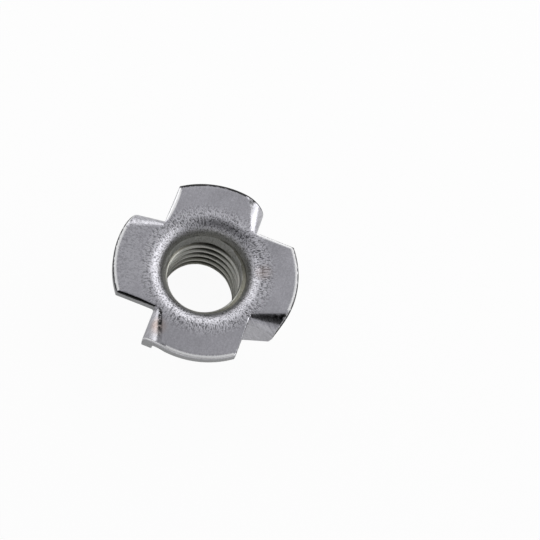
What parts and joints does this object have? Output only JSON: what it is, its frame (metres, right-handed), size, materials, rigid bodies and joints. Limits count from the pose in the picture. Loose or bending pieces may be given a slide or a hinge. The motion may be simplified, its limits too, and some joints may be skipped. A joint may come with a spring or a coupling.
{
  "type": "tee nut",
  "caption": "Pronged tee nut pressed from sheet steel: a round flange with prongs folded down, and a drawn barrel with an internal metric thread.",
  "frame": {"origin": "on the thread's axis, at the free end of the barrel", "axes": "+Z along the thread's axis, from the barrel's free end up to the flange's flat face; +X and +Y square to two neighbouring folds"},
  "size_m": [0.022, 0.022, 0.0105],
  "materials": {
    "zinc_steel": "bright zinc plate over drawn sheet steel, with fine rolling streaks"
  },
  "bodies": {
    "root": {"tee_nut": "zinc_steel"}
  },
  "joints": []
}
